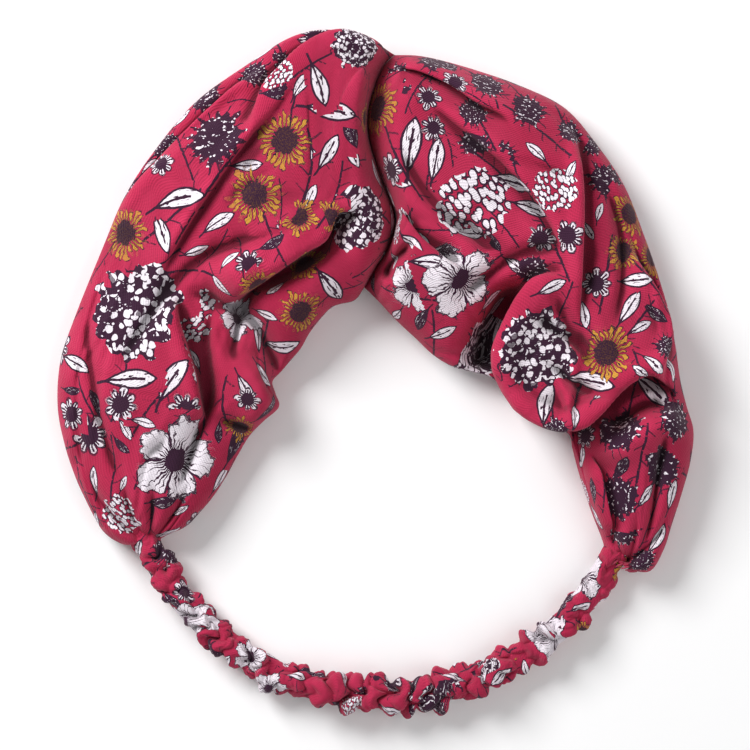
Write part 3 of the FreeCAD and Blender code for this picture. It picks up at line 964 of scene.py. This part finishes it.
class Graph:
    """Makes and links the nodes of one material."""

    def __init__(self, name):
        self.material = bpy.data.materials.new(name)
        self.material.use_nodes = True
        self.tree = self.material.node_tree
        self.shader = self.tree.nodes["Principled BSDF"]

    def feed(self, socket, value):
        if isinstance(value, Value):
            self.tree.links.new(value.socket, socket)
        elif value is not None:
            socket.default_value = value

    def math(self, operation, a, b=None, c=None):
        node = self.tree.nodes.new("ShaderNodeMath")
        node.operation = operation
        for socket, value in zip(node.inputs, (a, b, c)):
            self.feed(socket, value)
        return Value(self, node.outputs[0])

    def ramp(self, low, high, value):
        """0 below low and 1 above high, smooth between. High may be the smaller."""
        node = self.tree.nodes.new("ShaderNodeMapRange")
        node.interpolation_type = "SMOOTHSTEP"
        self.feed(node.inputs["Value"], value)
        node.inputs["From Min"].default_value = low
        node.inputs["From Max"].default_value = high
        return Value(self, node.outputs["Result"])

    def join(self, x, y, z=0.0):
        node = self.tree.nodes.new("ShaderNodeCombineXYZ")
        for socket, value in zip(node.inputs, (x, y, z)):
            self.feed(socket, value)
        return Value(self, node.outputs[0])

    def split(self, vector):
        node = self.tree.nodes.new("ShaderNodeSeparateXYZ")
        self.feed(node.inputs[0], vector)
        return [Value(self, out) for out in node.outputs]

    def attribute(self, name):
        node = self.tree.nodes.new("ShaderNodeAttribute")
        node.attribute_name = name
        return Value(self, node.outputs["Vector"])

    def noise(self, vector, scale, detail=2.0):
        node = self.tree.nodes.new("ShaderNodeTexNoise")
        self.feed(node.inputs["Vector"], vector)
        node.inputs["Scale"].default_value = scale
        node.inputs["Detail"].default_value = detail
        return Value(self, node.outputs["Fac"])

    def cells(self, x, y, seed, randomness):
        """How far a point is from the middle of its cell, both ways, and the cell's chance."""
        node = self.tree.nodes.new("ShaderNodeTexVoronoi")
        node.voronoi_dimensions = "2D"
        shifted = x + seed * 40.0
        self.feed(node.inputs["Vector"], self.join(shifted, y))
        node.inputs["Scale"].default_value = 1.0
        node.inputs["Randomness"].default_value = randomness
        chance = self.split(Value(self, node.outputs["Color"]))[0]
        cx, cy, _ = self.split(Value(self, node.outputs["Position"]))
        return shifted - cx, y - cy, chance

    def random(self, number):
        node = self.tree.nodes.new("ShaderNodeTexWhiteNoise")
        node.noise_dimensions = "1D"
        self.feed(node.inputs["W"], number)
        return Value(self, node.outputs["Value"])

    def mix(self, share, first, second):
        """A colour between two colours."""
        node = self.tree.nodes.new("ShaderNodeMix")
        node.data_type = "RGBA"
        self.feed(node.inputs[0], share)
        for socket, value in ((node.inputs[6], first), (node.inputs[7], second)):
            self.feed(socket, (*value, 1.0) if isinstance(value, tuple) else value)
        return Value(self, node.outputs[2])

    def coordinates(self):
        node = self.tree.nodes.new("ShaderNodeTexCoord")
        return Value(self, node.outputs["Object"])

    def bump(self, height, strength, depth):
        """Feeds a height in millimetres times depth to the shader's normal."""
        node = self.tree.nodes.new("ShaderNodeBump")
        node.inputs["Strength"].default_value = strength
        node.inputs["Distance"].default_value = depth * MM
        self.feed(node.inputs["Height"], height)
        self.feed(self.shader.inputs["Normal"], Value(self, node.outputs[0]))

    def absolute(self, value):
        return self.math("ABSOLUTE", value)

    def either(self, *values):
        total = values[0]
        for value in values[1:]:
            total = self.math("MAXIMUM", total, value)
        return total

    def length(self, x, y):
        return self.math("SQRT", x * x + y * y)

    def petals(self, angle, count, shift=0.0):
        """Position across the petal at an angle, from -0.5 to 0.5, and the petal's number."""
        turns = angle * (count / (2 * math.pi)) + shift
        number = self.math("FLOOR", turns)
        return turns - number - 0.5, number


# ---------------------------------------------------------------- the printed jersey
CRIMSON = (0.52, 0.028, 0.088)
CRIMSON_DEEP = (0.42, 0.018, 0.064)
INK = (0.042, 0.013, 0.034)
WHITE = (0.90, 0.83, 0.90)
MUSTARD = (0.60, 0.29, 0.045)
BROWN = (0.085, 0.034, 0.028)
RIB_PITCH = 0.56              # of the knit, in millimetres: chosen
LOOP_PITCH = 0.9
# Hollows are drawn darker and ridges lighter than the light makes them, to bring out the folds.
HOLLOW_SHADE = 0.68
RIDGE_LIGHT = 0.16


def draw_daisy(g, x, y, r, angle, seed):
    sway = g.noise(g.join(x, y, seed * 7.0), 3.0)
    across, number = g.petals(angle + 0.5 * sway, 25)
    chance = g.random(number + seed * 91.0)
    end = 0.66 + 0.38 * chance - across * across * 0.9
    half = 0.08 + 0.17 * g.ramp(0.35, 0.7, r) + 0.07 * chance
    side = g.absolute(across)
    petal = (side < half) * (r < end)
    outline = (side < half + 0.13) * (r < end + 0.05)
    vein = (side < 0.06) * (r < end - 0.22)
    ragged = g.noise(g.join(x, y, seed * 9.0), 9.0)
    heart = r < 0.26 + 0.36 * ragged
    speck = g.noise(g.join(x, y, seed * 5.0), 20.0) > 0.53
    inside = g.either(petal, outline, heart)
    ink = g.mix(petal * (1.0 - vein), INK, MUSTARD)
    return inside, g.mix(heart, ink, g.mix(speck, INK, BROWN))


def draw_bloom(g, x, y, r, angle, seed):
    across, number = g.petals(angle, 5, seed)
    wave = g.noise(g.join(x, y, seed * 13.0), 4.5)
    end = 0.66 + 0.22 * g.random(number + seed * 57.0) + 0.48 * wave - across * across * 1.2
    inside = r < end
    rim = r > end - 0.06
    side = (g.absolute(across) > 0.46) * (r > 0.3)
    stroke, stroke_number = g.petals(angle + 0.5 * wave, 36)
    chance = g.random(stroke_number + seed * 31.0)
    reach = 0.36 + 0.48 * chance
    lines = g.absolute(stroke) < 0.62 * (1.0 - r / reach)
    edge_lines = g.absolute(stroke) < 0.24 * (r - end + reach * 0.5) / reach
    heart = r < 0.12 + 0.26 * wave
    ink = g.either(rim, side, lines, edge_lines, heart)
    return inside, g.mix(ink, WHITE, INK)


def draw_floret(g, x, y, r, angle, seed):
    across, number = g.petals(angle, 8, seed)
    end = 0.74 + 0.28 * g.random(number + seed * 71.0) - across * across * 1.1
    inside = r < end
    rim = r > end - 0.11
    stroke, stroke_number = g.petals(angle, 22)
    reach = 0.48 + 0.4 * g.random(stroke_number + seed * 23.0)
    lines = (g.absolute(stroke) < 0.30) * (r < reach + 0.1)
    heart = r < 0.30 + 0.30 * g.noise(g.join(x, y, seed * 13.0), 7.0)
    side = g.absolute(across) > 0.42
    return inside, g.mix(g.either(rim, lines, heart, side), WHITE, INK)


def draw_cluster(g, x, y, r, angle, seed):
    """White blobs round the dark star hearts of many florets, on ink."""
    spread = 3.3
    dx, dy, chance = g.cells(x * spread, y * spread, seed, 0.65)
    q = g.length(dx, dy)
    across, number = g.petals(g.math("ARCTAN2", dy, dx), 6, chance)
    luck = g.random(number + chance * 31.0)
    middle = 0.40 + 0.10 * g.random(number + chance * 77.0)
    size = 0.20 * g.ramp(0.06, 0.55, luck)
    blob = g.length(q - middle, across * 0.46) < size
    fleck = g.noise(g.join(x, y, seed * 17.0), 17.0, 1.0) > 0.67
    worn = g.noise(g.join(x, y, seed * 3.0), 3.2, 1.0) < 0.34
    white = g.either(blob, fleck * (q > 0.22)) * (1.0 - worn * 0.8)
    scallop, _ = g.petals(angle, 13)
    lumpy = g.noise(g.join(x, y, seed * 23.0), 2.8, 2.0)
    inside = r < 0.52 + 0.62 * lumpy - 0.45 * (scallop * scallop)
    return inside, g.mix(white, INK, WHITE)


def draw_thistle(g, x, y, r, angle, seed):
    """A spiky dark head with scratchy white flecks."""
    spike, number = g.petals(angle, 17, seed)
    spikes = 0.30 * (1.0 - 2.0 * g.absolute(spike)) * g.random(number + seed * 43.0)
    ragged = g.noise(g.join(x, y, seed * 29.0), 7.0)
    ray = (g.absolute(spike) < 0.07) * (r < 0.62 + 0.4 * g.random(number + seed * 11.0))
    inside = g.either(r < 0.36 + 0.5 * ragged + spikes, ray)
    fleck = g.noise(g.join(x * 0.7, y, seed * 17.0), 11.0, 1.0) > 0.64
    return inside, g.mix(fleck * (1.0 - ray), INK, WHITE)


def draw_pebbles(g, x, y, r, angle, seed):
    """Close white buds, each with an ink outline."""
    dx, dy, chance = g.cells(x * 6.4 + y * 1.6, y * 4.4, seed, 0.85)
    q = g.length(dx, dy * 0.95)
    bud = 0.30 + 0.16 * chance
    inside = r < 0.45 + 0.75 * g.noise(g.join(x, y, seed * 23.0), 2.6)
    return inside * (q < bud + 0.19), g.mix(q < bud, INK, WHITE)


FLOWERS = {
    DAISY: draw_daisy, BLOOM: draw_bloom, FLORET: draw_floret,
    CLUSTER: draw_cluster, THISTLE: draw_thistle, PEBBLES: draw_pebbles,
}


def wobbly(g, layer, amount):
    """A layer's local place, shaken a little as by hand, and its kind and seed."""
    x, y, code = g.split(g.attribute(layer))
    kind = g.math("FLOOR", code)
    seed = code - kind
    shake = g.noise(g.join(x, y, seed * 60.0), 5.0, 1.0) - 0.5
    sway = g.noise(g.join(x, y, seed * 60.0 + 31.0), 5.0, 1.0) - 0.5
    return x + shake * amount, y + sway * amount, kind, seed


def print_flowers(g, under):
    x, y, kind, seed = wobbly(g, "flowers", 0.10)
    r = g.length(x, y)
    angle = g.math("ARCTAN2", y, x)
    colour = under
    for number, draw in FLOWERS.items():
        inside, inks = draw(g, x, y, r, angle, seed)
        this = g.absolute(kind - float(number)) < 0.5
        colour = g.mix(inside * this, colour, inks)
    return colour


def print_leaves(g, under):
    """White leaves with an ink outline, a midrib and a few strokes on one half."""
    x, y, kind, seed = wobbly(g, "leaves", 0.05)
    y = y - (seed - 0.45) * 0.35 * (x * x)
    width = 0.36 * (1.0 - x * x) * (1.0 + 0.3 * x)
    side = g.absolute(y)
    inside = side < width
    rim = side > width - 0.085
    streak = g.noise(g.join(x * 1.2, y * 5.0, seed * 23.0), 2.6, 1.0)
    rib = (side < 0.09 * streak) * (x < 0.4 + 0.4 * seed)
    hatch = (streak > 0.63) * (side < width * 0.7)
    tips = g.absolute(x) > 0.86
    rim = g.either(rim, tips)
    stalk = (side < 0.05) * (x < -0.8)
    ink = g.either(rim, rib, hatch)
    dark = (seed > 0.66) * (streak < 0.60)
    leaf = g.mix(g.either(ink, dark), WHITE, INK)
    shown = g.math("GREATER_THAN", kind, 0.5)
    colour = g.mix(stalk * shown, under, INK)
    return g.mix(inside * shown, colour, leaf)


def print_stems(g, under):
    x, y, kind, seed = wobbly(g, "stems", 0.05)
    y = y - (seed - 0.45) * 0.5 * (x * x - 0.3)
    twig, number = g.petals(x * 6.2832, 2.3, seed)
    rise = y * (2.0 * (g.random(number + seed * 19.0) > 0.5) - 1.0)
    line = g.absolute(y) < 0.034
    side = (g.absolute(twig - 1.6 * rise) < 0.06) * (rise > 0.0) * (rise < 0.16 + 0.2 * seed)
    broken = g.noise(g.join(x, y, seed * 11.0), 14.0) > 0.36
    shown = g.math("GREATER_THAN", kind, 0.5)
    return g.mix(g.either(line, side * 0.9) * broken * shown, under, INK)


def jersey_material(name):
    """Printed cotton jersey: fine diagonal rib, a little fuzz and a soft sheen."""
    g = Graph(name)
    s, t, hollow = g.split(g.attribute("knit"))
    patch = g.noise(g.join(s, t), 0.05, 3.0)
    base = g.mix(g.ramp(0.3, 0.7, patch), CRIMSON_DEEP, CRIMSON)
    colour = print_flowers(g, print_leaves(g, print_stems(g, base)))
    rib = g.math("SINE", (s * 0.8 + t * 0.6) * (2 * math.pi / RIB_PITCH))
    loop = g.math("SINE", (s * 0.6 - t * 0.8) * (2 * math.pi / LOOP_PITCH))
    fuzz = g.noise(g.join(s, t), 2.6, 4.0)
    height = rib * 0.5 + loop * 0.22 + fuzz * 1.3
    # Painted shade: the colour is darkened where the cloth lies in a hollow, and a painted highlight
    # lightens it on ridges.
    sunk = g.ramp(0.04, 0.95, hollow)
    raised = g.ramp(-0.1, -1.2, hollow)
    # fade is the knit's own rib and fuzz tone, then multiplied by the painted shade in hollows and the
    # painted highlight on ridges.
    fade = 0.93 + 0.08 * rib + 0.12 * (fuzz - 0.5)
    fade = fade * (1.0 - HOLLOW_SHADE * sunk) * (1.0 + RIDGE_LIGHT * raised)
    tint = g.tree.nodes.new("ShaderNodeVectorMath")
    tint.operation = "SCALE"
    g.feed(tint.inputs[0], colour)
    g.feed(tint.inputs["Scale"], fade)
    g.feed(g.shader.inputs["Base Color"], Value(g, tint.outputs[0]))
    g.bump(height, 0.75, 0.12)
    g.feed(g.shader.inputs["Roughness"], 0.74 + 0.16 * fuzz)
    g.shader.inputs["Specular IOR Level"].default_value = 0.12
    g.shader.inputs["Sheen Weight"].default_value = 0.16
    g.shader.inputs["Sheen Roughness"].default_value = 0.5
    g.shader.inputs["Sheen Tint"].default_value = (1.0, 0.75, 0.8, 1.0)
    return g.material


def thread_material(name):
    """Spun thread: fine twist and a slight sheen."""
    g = Graph(name)
    place = g.coordinates()
    twist = g.noise(place, 2400.0, 2.0)
    g.feed(g.shader.inputs["Base Color"], g.mix(twist, (0.30, 0.015, 0.05), (0.46, 0.03, 0.09)))
    g.feed(g.shader.inputs["Roughness"], 0.55 + 0.25 * twist)
    g.bump(twist, 0.4, 0.05)
    g.shader.inputs["Sheen Weight"].default_value = 0.2
    return g.material


def elastic_material(name):
    """Off-white knitted elastic."""
    g = Graph(name)
    place = g.coordinates()
    knit = g.noise(place, 1500.0, 3.0)
    g.feed(g.shader.inputs["Base Color"], g.mix(knit, (0.62, 0.60, 0.56), (0.80, 0.79, 0.76)))
    g.feed(g.shader.inputs["Roughness"], 0.65 + 0.2 * knit)
    g.bump(knit, 0.5, 0.1)
    return g.material


# ---------------------------------------------------------------- build
KNOT_START = (-30 * MM, 61 * MM, 0)
KNOT_END = (30 * MM, 61 * MM, 0)
CASING_START = (-70 * MM, -52 * MM, 0)
CASING_END = (74 * MM, -55 * MM, 0)


def finish_piece(piece, node, slot, material, start, end):
    """Welds a piece, gives it its material, hides its CAD node and bakes its transform into its mesh.
    The slot, start and end it is given are not used.
    """
    weld(piece)
    piece.data.materials.append(material)
    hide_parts(node)
    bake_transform(piece)


add_studio()
knot = (KNOT_START, KNOT_END)
jersey = jersey_material("printed_jersey")
thread = thread_material("crimson_thread")
for side, stations, folds, motifs, neck, flat, area, seed in (
    ("left", LEFT_STATIONS, left_folds, LEFT_PRINT, (-64, -57, 6), LEFT_FLAT, LEFT_AREA, SEED),
    ("right", RIGHT_STATIONS, right_folds, RIGHT_PRINT, (67, -59, 6), RIGHT_FLAT, RIGHT_AREA,
     SEED + 10),
):
    grid = wing_shell(stations, folds, seed)
    piece = rolled_cloth(side + "_band_cloth", grid, capped=True)
    print_band(grid, motifs, seed).paint(piece)
    finish_piece(piece, side + "_band", "band_jersey", jersey, *knot)
    side + "_band_stitches"
    piece = running_stitches(side + "_band_stitches", grid[:, 0])
    finish_piece(piece, side + "_band_seam", "sewing_thread", thread, *knot)
    piece = join_stitches(side + "_end_stitches", grid, neck)
    finish_piece(piece, side + "_join_stitches", "sewing_thread", thread, *knot)

grid = casing_shell(SEED + 30)
piece = rolled_cloth("casing_cloth", grid, capped=False)
print_casing(grid, SEED + 30).paint(piece)
finish_piece(piece, "elastic_casing", "casing_jersey", jersey, CASING_START, CASING_END)
piece = running_stitches("casing_stitches", grid[:, 0])
finish_piece(piece, "casing_seam", "sewing_thread", thread, CASING_START, CASING_END)
piece = elastic_strip()
finish_piece(piece, "elastic_strip", "knitted_elastic", elastic_material("elastic"),
             CASING_START, CASING_END)
